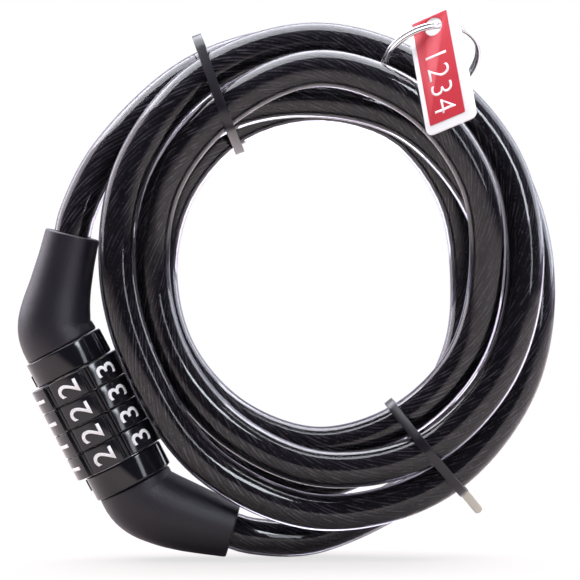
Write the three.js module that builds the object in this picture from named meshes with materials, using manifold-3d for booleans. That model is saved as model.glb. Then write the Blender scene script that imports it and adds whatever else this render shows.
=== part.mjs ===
// Coiled combination cable lock: smoky sheathed steel cable, four number dials,
// plug and socket halves, two elbow boots, two cable ties, split ring and code tag.
// Units are mm, +Z up, the coil's axis lies along Y.
import * as THREE from 'three';
import { mergeVertices } from 'three/addons/utils/BufferGeometryUtils.js';
import Module from 'manifold-3d';

const wasm = await Module();
wasm.setup();

const DEG = Math.PI / 180;
const FULL = 360;
const HALF_TURN = 180;

// ---------- cable ----------
const SHEATH_D = 12;
const SHEATH_R = SHEATH_D / 2;
const ROPE_R = 3.2;
const ROPE_CLEAR = 0.8;
const SHEATH_SIDES = 10;
const BORE_SIDES = 8;
const ROPE_SIDES = 6;
const BORE_R = (ROPE_R + ROPE_CLEAR) / Math.cos(Math.PI / BORE_SIDES);
const CABLE_STEP = 12;
const LEAD_STEP = 6;
const CUT_GAP = 0.3;

// ---------- coil route: centre, then [radius, depth] at every twelfth of a turn ----------
const COIL_X = 9.2;
const COIL_Z = 93.3;
const LEAD_STATION = 1;
const ROUTE_FIRST_DEG = 30;
const ROUTE_STEP_DEG = 30;
const ROUTE = [
  [78.6, 9.6],
  [76.7, 15.1],
  [75.2, 20.7],
  [73.2, 22.4],
  [71.1, 17.4],
  [71.6, 10.1],
  [75.5, 6.6],
  [78.5, 2.5],
  [77.4, -0.7],
  [71.0, -3.3],
  [64.3, -5.8],
  [64.6, -5.2],
  [69.0, -3.7],
  [73.7, 1.8],
  [75.7, 7.8],
  [73.3, 6.4],
  [70.7, 3.9],
  [67.1, -1.7],
  [66.8, -2.9],
  [66.5, -2.3],
  [63.0, -1.1],
  [57.7, 0.3],
  [54.5, 2.1],
  [54.0, 1.9],
  [57.5, 0.7],
  [61.2, -3.3],
  [66.1, -7.5],
  [63.6, -7.7],
  [59.2, -5.0],
  [54.6, -1.6],
  [54.9, 2.5],
  [55.4, 5.9],
  [56.4, 9.7],
  [54.4, 12.6],
  [52.9, 15.2],
  [52.2, 18.0],
  [53.4, 21.1],
  [55.1, 23.4],
  [55.5, 24.5],
  [55.2, 26.6],
  [52.0, 25.6],
  [50.2, 25.3],
  [54.8, 24.5],
  [62.0, 23.6],
  [70.1, 22.0],
  [69.0, 20.2],
  [66.1, 18.0],
  [65.1, 15.7],
  [63.5, 13.3],
  [60.0, 11.7],
  [56.8, 11.7],
  [57.3, 14.2],
  [57.4, 14.0],
  [60.8, 17.2],
  [68.0, 16.8],
  [76.1, 14.9],
  [86.1, 10.7],
];

// ---------- lock axis: a runs from the plug end down to the socket end ----------
const LOCK_DEG = 27.6;
const LOCK_Y = 4.5;
const LOCK_LEFT = 83.1;
const LOCK_BELOW = 23.7;
const LOCK_START = new THREE.Vector3(COIL_X - LOCK_LEFT, LOCK_Y, COIL_Z - LOCK_BELOW);
const A = new THREE.Vector3(Math.sin(LOCK_DEG * DEG), 0, -Math.cos(LOCK_DEG * DEG));
const P = new THREE.Vector3(Math.cos(LOCK_DEG * DEG), 0, Math.sin(LOCK_DEG * DEG));
const Q = new THREE.Vector3(0, -1, 0);

const DIAL_COUNT = 4;
const DIAL_PITCH = 8.16;
const DIAL_GAP = 0.3;
const DIAL_W = DIAL_PITCH - DIAL_GAP;
const DIAL_R = 16;
const DIAL_PADS = 7;
const PAD_HALF_DEG = 21;
const PAD_STEPS = 6;
const PAD_FIRST_DEG = -12.6;
const GROOVE_DEPTH = 1.1;
const GROOVE_FLOOR_HALF_DEG = 3.4;
const DIAL_CHAMFER = 0.4;
const DIAL_BORE_R = 12;
const COLLAR_LEN = 8.7;
const COLLAR_R = 13.35;
const COLLAR_CHAMFER = 0.6;
const SEAT_GAP = 0.15;
const DIALS_START = COLLAR_LEN + SEAT_GAP;
const DIALS_END = DIALS_START + DIAL_COUNT * DIAL_PITCH - DIAL_GAP;
const LOCK_LEN = DIALS_END + SEAT_GAP * 2 + COLLAR_LEN;
const ROUND_SIDES = 32;

// ---------- core tube radius and what turns on it ----------
const CORE_R = 7.5;
const BORE_CLEAR = 0.3;
const DIMPLE_DEPTH = 0.3;
const CLIP_RIDGE = 2;
const CLIP_BITE = 0.5;
const FIN_CLEAR = 0.4;
const LEAF_DEPTH = 2;
const BALL_SINK = 0.65;
const SOCKET_SHOULDER = 3.4;

// ---------- tumblers ----------
const TUMBLER_R = 11.7;
const KEY_HALF_W = 1.0;
const KEY_TOP_R = 12.6;
const KEYWAY_CLEAR = 0.3;
const CLIP_OUT_R = CORE_R + CLIP_RIDGE;
const RECESS_R = CLIP_OUT_R + 0.5;
const WEB_R = CORE_R + BORE_CLEAR;
const DIMPLE_R = WEB_R + DIMPLE_DEPTH;
const FIN_R = RECESS_R - FIN_CLEAR;
const GATE_R = FIN_R + 0.35;
const GATE_HALF_W = 1.7;
const TUMBLER_INSET = 0.18;
const RECESS_LEN = 4.5;
const WEB_LEN = 3;
const GATE_DEG = 180;
const BORE_STEPS = 28;
const DIMPLE_EVERY = 4;

// ---------- core tube, plug pin ----------
const CORE_BORE_R = 4.5;
const CORE_TOP = 7.2;
const CORE_FLOOR = 46.2;
const CORE_SLOT_HALF_W = 1.65;
const CORE_END = LOCK_LEN - SOCKET_SHOULDER;
const SHANK_R = 4.3;
const SHANK_OUT = 4.7;
const PIN_R = 4.2;
const PIN_TIP = 40;
const PIN_ROOT = -4.7;
const PIN_TIP_CHAMFER = 1;
const FIN_HALF_W = 1.35;
const FIN_FROM = 1.2;
const FIN_LEN = 2.6;
const CLIP_FROM = 4.0;
const CLIP_LEN = 0.5;
const CLIP_IN_R = CORE_R - CLIP_BITE;
const CLIP_OPEN_HALF_DEG = 24;
const CLIP_STEPS = 24;
const CLIP_GROOVE_R = CLIP_IN_R - 0.3;
const CLIP_GROOVE_CLEAR = 0.15;
const LEAF_HALF_W = 1.0;
const LEAF_FLOOR_R = CORE_R - LEAF_DEPTH;
const LEAF_T = 0.4;
const LEAF_CLEAR = 0.1;
const LEAF_GROOVE_HALF_W = 1.2;
const LEAF_DEG = 0;
const BALL_R = 0.8;
const BALL_CENTRE_R = CORE_R - BALL_SINK;
const BALL_SEGMENTS = 8;
const WASHER_IN_R = CORE_R + 0.5;
const WASHER_OUT_R = 11.4;
const WASHER_T = 0.5;
const WASHER_RECESS_R = 11.8;
const WASHER_RECESS = 0.9;

// ---------- collars ----------
const COLLAR_BORE_R = CORE_R + BORE_CLEAR;
const COLLAR_THROAT_R = 4.5;
const COLLAR_SEAT = 5.3;
const INDEX_DEG = -87;
const INDEX_LEN = 4;
const INDEX_W = 1.3;
const INDEX_PROUD = 0.4;
const INDEX_ROOT = 0.8;

// ---------- ferrules and cross pins ----------
const FERRULE_R = 6.2;
const FERRULE_LEN = 7;
const FERRULE_GAP = 0.3;
const FERRULE_SHANK_R = 4.5;
const FERRULE_SHANK_DEPTH = 4.8;
const FERRULE_ROPE_R = 5.2;
const CROSS_PIN_R = 0.8;
const CROSS_HOLE_R = 1;
const CROSS_PIN_LEN = 11.6;
const CROSS_AT = 2.6;
const SMALL_SIDES = 12;

// ---------- boots ----------
const BOOT_STRAIGHT = 4.5;
const BOOT_CAVITY_R = 8.6;
const BOOT_LIP_R = 6.5;
const BOOT_LIP_LEN = 4;
const BOOT_LIP_RAMP = 4;
const BOOT_EDGE = 0.5;
const BOOT_SIDES = 24;
const UPPER_MOUTH_ACROSS = 3.3;
const UPPER_MOUTH_UP = 36.5;
const UPPER_MOUTH = new THREE.Vector3(LOCK_START.x + UPPER_MOUTH_ACROSS, LOCK_Y, LOCK_START.z + UPPER_MOUTH_UP);
const UPPER_MOUTH_DEG = 13.1;
const UPPER_PULL = 18;
const LOWER_MOUTH_ACROSS = 55.5;
const LOWER_MOUTH_DOWN = 60.3;
const LOWER_MOUTH = new THREE.Vector3(LOCK_START.x + LOWER_MOUTH_ACROSS, LOCK_Y, LOCK_START.z - LOWER_MOUTH_DOWN);
const LOWER_MOUTH_DEG = 105.7;
const LOWER_PULL = 15;
const AXIS_PULL = 4;
const UPPER_PROFILE = [
  [0, 8.9],
  [8, 9.2],
  [18, 10.1],
  [26, 11.5],
  [32, 12.2],
];
const LOWER_PROFILE = [
  [0, 8.9],
  [7, 10.0],
  [14, 11.1],
  [20, 11.8],
  [28, 12.3],
];
const BOOT_END_R = 12.4;
const ROPE_IN = 6.6;
const SHEATH_IN = 12;
const MOUTH_LEAD = 6;

// ---------- cable ties ----------
const TIE_W = 3;
const TIE_T = 1.2;
const TIE_CLEAR = 0.65;
const TIE_ARC_STEPS = 16;
const TIE_HEAD_W = 5;
const TIE_HEAD_T = 4.6;
const TIE_HEAD_L = 5.2;
const UPPER_CROSS_R = 60.8;
const UPPER_BULGE = [79.4, 4.5];
const UPPER_HEAD = [69.2, 27.7];
const UPPER_TAIL = 14;
const LOWER_CROSS_R = 63.3;
const LOWER_BULGE = [79.2, 6.0];
const LOWER_HEAD = [81.7, 21.5];
const LOWER_TAIL = 15;
const TIES = [
  {
    name: 'zip_tie_upper',
    deg: 60,
    slantDeg: -9.9,
    crossR: UPPER_CROSS_R,
    bulge: UPPER_BULGE,
    head: UPPER_HEAD,
    headDeg: 159,
    tailDeg: -21,
    tail: UPPER_TAIL,
  },
  {
    name: 'zip_tie_lower',
    deg: 238.5,
    slantDeg: 7.8,
    crossR: LOWER_CROSS_R,
    bulge: LOWER_BULGE,
    head: LOWER_HEAD,
    headDeg: 135,
    tailDeg: -3,
    tail: LOWER_TAIL,
  },
];

// ---------- split ring and code tag ----------
const RING_R = 16.1;
const RING_WIRE_R = 0.65;
const RING_LIFT = 1.45;
const RING_TURNS = 2;
const RING_STEPS = 56;
const RING_SIDES = 6;
const RING_FROM_COIL = new THREE.Vector3(36.33, 2.26, 68.64);
const RING_CENTRE = new THREE.Vector3(COIL_X, 0, COIL_Z).add(RING_FROM_COIL);
const RING_TILT_DEG = 46.8;
const RING_YAW_DEG = 18.6;

const TAG_W = 18.2;
const TAG_L = 40.6;
const TAG_T = 0.8;
const TAG_CORNER = 2.4;
const TAG_HOLE_R = 2.9;
const TAG_HOLE_DOWN = 4.6;
const TAG_ROLL_DEG = -8.8;
const TAG_LEAN_DEG = -25.6;
const TAG_YAW_DEG = -29.8;
const TAG_FROM_RING = new THREE.Vector3(0.66, -11.56, 10.51);
const TAG_HANG = RING_CENTRE.clone().add(TAG_FROM_RING);
const LABEL_W = 12.9;
const LABEL_SHIFT = -0.85;
const LABEL_HOLE_EDGE = 0.3;
const LABEL_L = 37;
const LABEL_T = 0.2;
const LABEL_GAP = 0.05;
const LABEL_DOWN = 0.7;

// ---------- materials ----------
function paint(color, metalness, roughness, extra = {}) {
  return new THREE.MeshStandardMaterial({ color, metalness, roughness, ...extra });
}
const smoke = paint('#16181c', 0, 0.18, { transparent: true, opacity: 0.75 });
const steel = paint('#b9bcc2', 1, 0.35);
const glossBlack = paint('#0b0b0d', 0, 0.2);
const charcoal = paint('#37373c', 0, 0.85);
const brass = paint('#b39a5a', 1, 0.35);
const nylon = paint('#141416', 0, 0.45);
const nickel = paint('#c9c9cc', 1, 0.25);
const whiteCard = paint('#f2f2ef', 0, 0.5);
const redPrint = paint('#dd3b46', 0, 0.5);

const group = new THREE.Group();
group.name = 'coiled_cable_lock';

function add(name, geometry, material) {
  geometry.computeVertexNormals();
  const mesh = new THREE.Mesh(geometry, material);
  mesh.name = name;
  group.add(mesh);
}

// ---------- solids: joins and cuts ----------
function solid(geometry) {
  const g = geometry.clone();
  g.deleteAttribute('normal');
  g.deleteAttribute('uv');
  const m = mergeVertices(g);
  const mesh = new wasm.Mesh({
    numProp: 3,
    vertProperties: new Float32Array(m.attributes.position.array),
    triVerts: new Uint32Array(m.index.array),
  });
  return new wasm.Manifold(mesh);
}

function unsolid(manifold) {
  const out = manifold.getMesh();
  const g = new THREE.BufferGeometry();
  g.setAttribute('position', new THREE.BufferAttribute(new Float32Array(out.vertProperties), 3));
  g.setIndex(new THREE.BufferAttribute(new Uint32Array(out.triVerts), 1));
  return g;
}

function cut(base, tools) {
  let body = solid(base);
  for (const tool of tools) body = body.subtract(solid(tool));
  return unsolid(body);
}

function join(pieces) {
  let body = solid(pieces[0]);
  for (const piece of pieces.slice(1)) body = body.add(solid(piece));
  return unsolid(body);
}

// ---------- placing on the lock axis ----------
// Extruded shapes: x is across to the right, y is to the front, z runs along the axis.
const AXIS_FRAME = new THREE.Matrix4().makeBasis(P, Q, A).setPosition(LOCK_START);
// Turned profiles: their own y runs along the axis.
const TURNED_FRAME = new THREE.Matrix4().makeBasis(Q, A, P).setPosition(LOCK_START);

function onAxis(geometry) {
  return geometry.applyMatrix4(AXIS_FRAME);
}

function extrude(shape, from, length, bevel = 0) {
  const g = new THREE.ExtrudeGeometry(shape, {
    depth: length - 2 * bevel,
    steps: 1,
    bevelEnabled: bevel > 0,
    bevelSize: bevel,
    bevelThickness: bevel,
    bevelOffset: -bevel,
    bevelSegments: 1,
  });
  g.translate(0, 0, from + bevel);
  return g;
}

function turned(points, sides = ROUND_SIDES) {
  const profile = points.map(([r, a]) => new THREE.Vector2(r, a));
  const g = new THREE.LatheGeometry(profile, sides);
  return mergeVertices(stripped(g));
}

function stripped(g) {
  g.deleteAttribute('normal');
  g.deleteAttribute('uv');
  return g;
}

function around(deg, r) {
  return new THREE.Vector2(Math.sin(deg * DEG) * r, Math.cos(deg * DEG) * r);
}

function ringPoints(r, sides, startDeg = 0) {
  const points = [];
  for (let i = 0; i < sides; i += 1) points.push(around(startDeg - (FULL * i) / sides, r));
  return points;
}

// ---------- dials ----------
function keyed(points, r, topR, halfW, deg) {
  // adds one square key or keyway at the given angle
  const half = Math.asin(halfW / r) / DEG;
  const kept = points.filter((p) => {
    const a = Math.atan2(p.x, p.y) / DEG;
    const d = Math.abs(((a - deg + FULL + HALF_TURN) % FULL) - HALF_TURN);
    return d > half * 1.3;
  });
  const halfTop = Math.asin(halfW / topR) / DEG;
  kept.push(around(deg + half, r), around(deg + halfTop, topR));
  kept.push(around(deg - halfTop, topR), around(deg - half, r));
  kept.sort((u, v) => turnOf(v, deg) - turnOf(u, deg));
  return kept;
}

function turnOf(p, deg) {
  const a = Math.atan2(p.x, p.y) / DEG - deg;
  return ((a + HALF_TURN) % FULL + FULL) % FULL;
}

function dialOutline() {
  const points = [];
  const pitch = FULL / DIAL_PADS;
  for (let k = 0; k < DIAL_PADS; k += 1) {
    const centre = PAD_FIRST_DEG - k * pitch;
    for (let i = 0; i <= PAD_STEPS; i += 1) {
      points.push(around(centre + PAD_HALF_DEG - (2 * PAD_HALF_DEG * i) / PAD_STEPS, DIAL_R));
    }
    const groove = centre - pitch / 2;
    points.push(around(groove + GROOVE_FLOOR_HALF_DEG, DIAL_R - GROOVE_DEPTH));
    points.push(around(groove - GROOVE_FLOOR_HALF_DEG, DIAL_R - GROOVE_DEPTH));
  }
  return points;
}

function dialGeometry(from) {
  const shape = new THREE.Shape(dialOutline());
  const bore = ringPoints(DIAL_BORE_R, ROUND_SIDES);
  const keyway = keyed(bore, DIAL_BORE_R, KEY_TOP_R + KEYWAY_CLEAR, KEY_HALF_W + KEYWAY_CLEAR, 0);
  shape.holes.push(new THREE.Path(keyway));
  return onAxis(extrude(shape, from, DIAL_W, DIAL_CHAMFER));
}

function tumblerGeometry(from) {
  const outline = () => keyed(ringPoints(TUMBLER_R, ROUND_SIDES), TUMBLER_R, KEY_TOP_R, KEY_HALF_W, 0);
  const recess = new THREE.Shape(outline());
  recess.holes.push(new THREE.Path(ringPoints(RECESS_R, ROUND_SIDES)));
  const bore = [];
  for (let i = 0; i < BORE_STEPS; i += 1) {
    const r = i % DIMPLE_EVERY === 0 ? DIMPLE_R : WEB_R;
    bore.push(around(GATE_DEG - HALF_TURN - (FULL * i) / BORE_STEPS, r));
  }
  const web = new THREE.Shape(outline());
  web.holes.push(new THREE.Path(keyed(bore, WEB_R, GATE_R, GATE_HALF_W, GATE_DEG)));
  const upper = extrude(recess, from, RECESS_LEN + CUT_GAP);
  const lower = extrude(web, from + RECESS_LEN, WEB_LEN);
  return onAxis(join([upper, lower]));
}

// ---------- small helpers on the axis ----------
function rodAcross(r, length, along, sides = SMALL_SIDES) {
  // a rod lying front to back, its middle on the axis
  const g = new THREE.CylinderGeometry(r, r, length, sides);
  g.translate(0, 0, along);
  return g;
}

function box(w, h, l, x, y, z) {
  const g = new THREE.BoxGeometry(w, h, l);
  g.translate(x, y, z);
  return g;
}

function turnedLocal(points, sides = ROUND_SIDES) {
  // turned profile with its axis along local z
  const g = turned(points, sides);
  g.applyMatrix4(new THREE.Matrix4().makeBasis(
    new THREE.Vector3(0, 1, 0),
    new THREE.Vector3(0, 0, 1),
    new THREE.Vector3(1, 0, 0),
  ));
  return g;
}

// ---------- core tube ----------
function coreGeometry() {
  const body = turnedLocal([
    [CORE_BORE_R, CORE_TOP],
    [CORE_BORE_R, CORE_FLOOR - 2],
    [0, CORE_FLOOR - 2],
    [0, LOCK_LEN + SHANK_OUT],
    [SHANK_R, LOCK_LEN + SHANK_OUT],
    [SHANK_R, CORE_END],
    [CORE_R, CORE_END],
    [CORE_R, CORE_TOP],
    [CORE_BORE_R, CORE_TOP],
  ].reverse());
  const slotLen = PIN_TIP + 1 - CORE_TOP + 2;
  const slot = box(2 * CORE_SLOT_HALF_W, CORE_R * 2, slotLen, 0, -CORE_R, CORE_TOP - 2 + slotLen / 2);
  const leafLen = DIALS_END - DIALS_START;
  const leafSlot = box(
    2 * LEAF_GROOVE_HALF_W,
    CORE_R,
    leafLen,
    0,
    LEAF_FLOOR_R + CORE_R / 2,
    DIALS_START + leafLen / 2,
  );
  const clipAt = DIALS_START + CLIP_FROM - CLIP_GROOVE_CLEAR;
  const clipGroove = turnedLocal([
    [CLIP_GROOVE_R, clipAt],
    [CORE_R + 1, clipAt],
    [CORE_R + 1, clipAt + CLIP_LEN + 2 * CLIP_GROOVE_CLEAR],
    [CLIP_GROOVE_R, clipAt + CLIP_LEN + 2 * CLIP_GROOVE_CLEAR],
    [CLIP_GROOVE_R, clipAt],
  ]);
  const cross = rodAcross(CROSS_HOLE_R, FERRULE_R * 2, LOCK_LEN + CROSS_AT);
  return onAxis(cut(body, [slot, leafSlot, clipGroove, cross]));
}

function clipGeometry() {
  const points = [];
  const from = GATE_DEG + CLIP_OPEN_HALF_DEG;
  const sweep = FULL - 2 * CLIP_OPEN_HALF_DEG;
  for (let i = 0; i <= CLIP_STEPS; i += 1) points.push(around(from + (sweep * i) / CLIP_STEPS, CLIP_OUT_R));
  for (let i = CLIP_STEPS; i >= 0; i -= 1) points.push(around(from + (sweep * i) / CLIP_STEPS, CLIP_IN_R));
  // the slot for the leaf spring stays open under the clip
  const clip = extrude(new THREE.Shape(points), DIALS_START + CLIP_FROM, CLIP_LEN);
  return onAxis(clip);
}

function leafGeometry() {
  const length = DIALS_END - DIALS_START - 2 * CUT_GAP;
  const y = LEAF_FLOOR_R + LEAF_CLEAR + LEAF_T / 2;
  return onAxis(box(2 * LEAF_HALF_W, LEAF_T, length, 0, y, DIALS_START + CUT_GAP + length / 2));
}

function ballGeometry(index) {
  const along = DIALS_START + index * DIAL_PITCH + TUMBLER_INSET + RECESS_LEN + WEB_LEN / 2;
  const g = mergeVertices(stripped(new THREE.SphereGeometry(BALL_R, BALL_SEGMENTS, BALL_SEGMENTS - 2)));
  g.translate(0, BALL_CENTRE_R, along);
  return onAxis(g);
}

function plugPinGeometry() {
  const pin = turnedLocal([
    [0, PIN_ROOT],
    [PIN_R, PIN_ROOT],
    [PIN_R, PIN_TIP - PIN_TIP_CHAMFER],
    [PIN_R - PIN_TIP_CHAMFER, PIN_TIP],
    [0, PIN_TIP],
  ]);
  const fins = [];
  for (let i = 0; i < DIAL_COUNT; i += 1) {
    const from = DIALS_START + i * DIAL_PITCH + FIN_FROM;
    fins.push(box(2 * FIN_HALF_W, FIN_R, FIN_LEN, 0, -FIN_R / 2, from + FIN_LEN / 2));
  }
  const joined = join([pin, ...fins]);
  const cross = rodAcross(CROSS_HOLE_R, FERRULE_R * 2, -CROSS_AT);
  return onAxis(cut(joined, [cross]));
}

// ---------- collars ----------
function collarGeometry(lower) {
  // measured from the boot face inwards to the dials
  const far = COLLAR_LEN - SEAT_GAP;
  const c = COLLAR_CHAMFER;
  let profile = [
    [COLLAR_THROAT_R, SEAT_GAP],
    [COLLAR_R - c, SEAT_GAP],
    [COLLAR_R, SEAT_GAP + c],
    [COLLAR_R, far - c],
    [COLLAR_R - c, far],
    [COLLAR_BORE_R + CUT_GAP, far],
    [COLLAR_BORE_R + CUT_GAP, COLLAR_SEAT],
    [COLLAR_THROAT_R, COLLAR_SEAT],
    [COLLAR_THROAT_R, SEAT_GAP],
  ];
  if (lower) {
    profile = [
      [COLLAR_THROAT_R, SEAT_GAP],
      [COLLAR_R - c, SEAT_GAP],
      [COLLAR_R, SEAT_GAP + c],
      [COLLAR_R, far - c],
      [COLLAR_R - c, far],
      [WASHER_RECESS_R, far],
      [WASHER_RECESS_R, far - WASHER_RECESS],
      [COLLAR_BORE_R, far - WASHER_RECESS],
      [COLLAR_BORE_R, LOCK_LEN - CORE_END - CUT_GAP],
      [COLLAR_THROAT_R, LOCK_LEN - CORE_END - CUT_GAP],
      [COLLAR_THROAT_R, SEAT_GAP],
    ];
  }
  if (lower) profile = profile.map(([r, a]) => [r, LOCK_LEN - a]).reverse();
  const ring = turnedLocal(profile);
  const r = COLLAR_R + INDEX_PROUD;
  const length = INDEX_ROOT + INDEX_PROUD;
  const rib = box(INDEX_W, length, INDEX_LEN, 0, r - length / 2, 0);
  rib.rotateZ(-INDEX_DEG * DEG);
  const at = far - c - INDEX_LEN / 2;
  rib.translate(0, 0, lower ? LOCK_LEN - at : at);
  return onAxis(join([ring, rib]));
}

// ---------- ferrules ----------
function ferruleGeometry(lower) {
  let profile = [
    [FERRULE_SHANK_R, -FERRULE_GAP],
    [FERRULE_R, -FERRULE_GAP],
    [FERRULE_R, -FERRULE_GAP - FERRULE_LEN],
    [FERRULE_ROPE_R, -FERRULE_GAP - FERRULE_LEN],
    [FERRULE_ROPE_R, -FERRULE_GAP - FERRULE_SHANK_DEPTH],
    [FERRULE_SHANK_R, -FERRULE_GAP - FERRULE_SHANK_DEPTH],
    [FERRULE_SHANK_R, -FERRULE_GAP],
  ];
  if (lower) profile = profile.map(([r, a]) => [r, LOCK_LEN - a]);
  else profile = profile.reverse();
  const body = turnedLocal(profile);
  const hole = rodAcross(CROSS_HOLE_R, FERRULE_R * 3, lower ? LOCK_LEN + CROSS_AT : -CROSS_AT);
  return onAxis(cut(body, [hole]));
}

function crossPinGeometry(lower) {
  return onAxis(rodAcross(CROSS_PIN_R, CROSS_PIN_LEN, lower ? LOCK_LEN + CROSS_AT : -CROSS_AT));
}

// ---------- the route of the cable ----------
function coilPoint(deg, r, y) {
  const a = deg * DEG;
  return new THREE.Vector3(COIL_X - r * Math.cos(a), y, COIL_Z + r * Math.sin(a));
}

function heading(deg) {
  // direction in the front plane, degrees clockwise from straight up
  return new THREE.Vector3(Math.sin(deg * DEG), 0, Math.cos(deg * DEG));
}

function bootCurve(end, axisOut, mouth, outDeg, pull) {
  // from the collar out to the mouth
  const straight = end.clone().addScaledVector(axisOut, BOOT_STRAIGHT);
  const out = heading(outDeg);
  return {
    end,
    straight,
    bend: new THREE.CubicBezierCurve3(
      straight,
      straight.clone().addScaledVector(axisOut, AXIS_PULL),
      mouth.clone().addScaledVector(out, -pull),
      mouth,
    ),
    mouth,
    out,
  };
}

const LOCK_END = LOCK_START.clone().addScaledVector(A, LOCK_LEN);
const upperBoot = bootCurve(LOCK_START, A.clone().negate(), UPPER_MOUTH, UPPER_MOUTH_DEG, UPPER_PULL);
const lowerBoot = bootCurve(LOCK_END, A, LOWER_MOUTH, LOWER_MOUTH_DEG, LOWER_PULL);
const BOOT_BEND_STEPS = 5;

function bootPoints(boot) {
  // collar to mouth
  const points = [boot.end.clone(), boot.straight.clone()];
  for (let i = 1; i <= BOOT_BEND_STEPS; i += 1) points.push(boot.bend.getPoint(i / BOOT_BEND_STEPS));
  return points;
}

const upperPoints = bootPoints(upperBoot);
const lowerPoints = bootPoints(lowerBoot);
const route = new THREE.CatmullRomCurve3([
  ...upperPoints,
  UPPER_MOUTH.clone().addScaledVector(upperBoot.out, MOUTH_LEAD),
  ...ROUTE.map(([r, y], i) => coilPoint(ROUTE_FIRST_DEG + i * ROUTE_STEP_DEG, r, y)),
  LOWER_MOUTH.clone().addScaledVector(lowerBoot.out, MOUTH_LEAD),
  ...lowerPoints.slice().reverse(),
], false, 'centripetal');
const ROUTE_DIVISIONS = 4000;
route.arcLengthDivisions = ROUTE_DIVISIONS;
const ROUTE_LEN = route.getLength();

function distanceTo(target) {
  // arc length at which the route passes closest to a point
  let best = 0;
  let bestD = Infinity;
  for (let i = 0; i <= ROUTE_DIVISIONS; i += 1) {
    const d = route.getPointAt(i / ROUTE_DIVISIONS).distanceTo(target);
    if (d < bestD) {
      bestD = d;
      best = (i / ROUTE_DIVISIONS) * ROUTE_LEN;
    }
  }
  return best;
}

class Stretch extends THREE.Curve {
  constructor(from, to) {
    super();
    this.from = from;
    this.to = to;
  }

  getPoint(t, target = new THREE.Vector3()) {
    const s = this.from + (this.to - this.from) * t;
    return target.copy(route.getPointAt(Math.min(Math.max(s / ROUTE_LEN, 0), 1)));
  }
}

function alongRoute(shape, from, to, step) {
  return new THREE.ExtrudeGeometry(shape, {
    steps: Math.max(2, Math.round((to - from) / step)),
    extrudePath: new Stretch(from, to),
    bevelEnabled: false,
  });
}

const leadDeg = ROUTE_FIRST_DEG + LEAD_STATION * ROUTE_STEP_DEG;
const SPLIT = distanceTo(coilPoint(leadDeg, ...ROUTE[LEAD_STATION]));
const SHEATH_END = ROUTE_LEN - SHEATH_IN;
const ROPE_END = ROUTE_LEN - ROPE_IN;

const sheathShape = new THREE.Shape(ringPoints(SHEATH_R, SHEATH_SIDES));
sheathShape.holes.push(new THREE.Path(ringPoints(BORE_R, BORE_SIDES)));
const ropeShape = new THREE.Shape(ringPoints(ROPE_R, ROPE_SIDES));
const half = CUT_GAP / 2;

add('cable_sheath', alongRoute(sheathShape, SPLIT + half, SHEATH_END, CABLE_STEP), smoke);
add('cable_rope', alongRoute(ropeShape, SPLIT + half, ROPE_END, CABLE_STEP), steel);
add('cable_sheath_lead', alongRoute(sheathShape, SHEATH_IN, SPLIT - half, LEAD_STEP), smoke);
add('cable_rope_lead', alongRoute(ropeShape, ROPE_IN, SPLIT - half, LEAD_STEP), steel);

// ---------- boots: a turned sleeve bent along its elbow ----------
function bootGeometry(boot, outer) {
  const path = new THREE.CatmullRomCurve3(bootPoints(boot), false, 'centripetal');
  const length = path.getLength();
  // profile heights run from the mouth (0) to the collar (length)
  const e = BOOT_EDGE;
  const mouthR = outer[0][1];
  const profile = [
    [BOOT_LIP_R, e],
    [BOOT_LIP_R + e, 0],
    [mouthR - e, 0],
    [mouthR, e],
    ...outer.slice(1).map(([a, r]) => [r, a]),
    [BOOT_END_R, length - e],
    [BOOT_END_R - e, length],
    [BOOT_CAVITY_R, length],
    [BOOT_CAVITY_R, length * 0.8],
    [BOOT_CAVITY_R, length * 0.6],
    [BOOT_CAVITY_R - 0.4, length * 0.4],
    [BOOT_LIP_R + 0.8, BOOT_LIP_LEN + BOOT_LIP_RAMP],
    [BOOT_LIP_R, BOOT_LIP_LEN],
    [BOOT_LIP_R, e],
  ];
  const g = turned(profile, BOOT_SIDES);
  const pos = g.attributes.position;
  const v = new THREE.Vector3();
  const side = new THREE.Vector3(0, 1, 0);
  for (let i = 0; i < pos.count; i += 1) {
    v.fromBufferAttribute(pos, i);
    const t = THREE.MathUtils.clamp(1 - v.y / length, 0, 1);
    const centre = path.getPointAt(t);
    const tangent = path.getTangentAt(t).negate();
    const across = new THREE.Vector3().crossVectors(tangent, side).normalize();
    // lathe x goes to the side, lathe y along the inward tangent, lathe z across
    const p = centre.addScaledVector(across, v.x).addScaledVector(side, v.z);
    pos.setXYZ(i, p.x, p.y, p.z);
  }
  return g;
}

function facedOut(geometry) {
  // flips a closed skin whose faces point inwards
  const pos = geometry.attributes.position;
  const idx = geometry.index.array;
  const a = new THREE.Vector3();
  const b = new THREE.Vector3();
  const c = new THREE.Vector3();
  let volume = 0;
  for (let i = 0; i < idx.length; i += 3) {
    a.fromBufferAttribute(pos, idx[i]);
    b.fromBufferAttribute(pos, idx[i + 1]);
    c.fromBufferAttribute(pos, idx[i + 2]);
    volume += a.dot(b.cross(c));
  }
  if (volume < 0) {
    for (let i = 0; i < idx.length; i += 3) {
      const keep = idx[i + 1];
      idx[i + 1] = idx[i + 2];
      idx[i + 2] = keep;
    }
  }
  return geometry;
}

add('boot_upper', facedOut(bootGeometry(upperBoot, UPPER_PROFILE)), charcoal);
add('boot_lower', facedOut(bootGeometry(lowerBoot, LOWER_PROFILE)), charcoal);
add('collar_upper', collarGeometry(false), glossBlack);
add('collar_lower', collarGeometry(true), glossBlack);
add('ferrule_upper', ferruleGeometry(false), brass);
add('ferrule_lower', ferruleGeometry(true), brass);
add('cross_pin_upper', crossPinGeometry(false), steel);
add('cross_pin_lower', crossPinGeometry(true), steel);
add('plug_pin', plugPinGeometry(), steel);
add('core_tube', coreGeometry(), steel);
add('retaining_clip', clipGeometry(), steel);
add('detent_leaf', leafGeometry(), steel);

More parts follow.
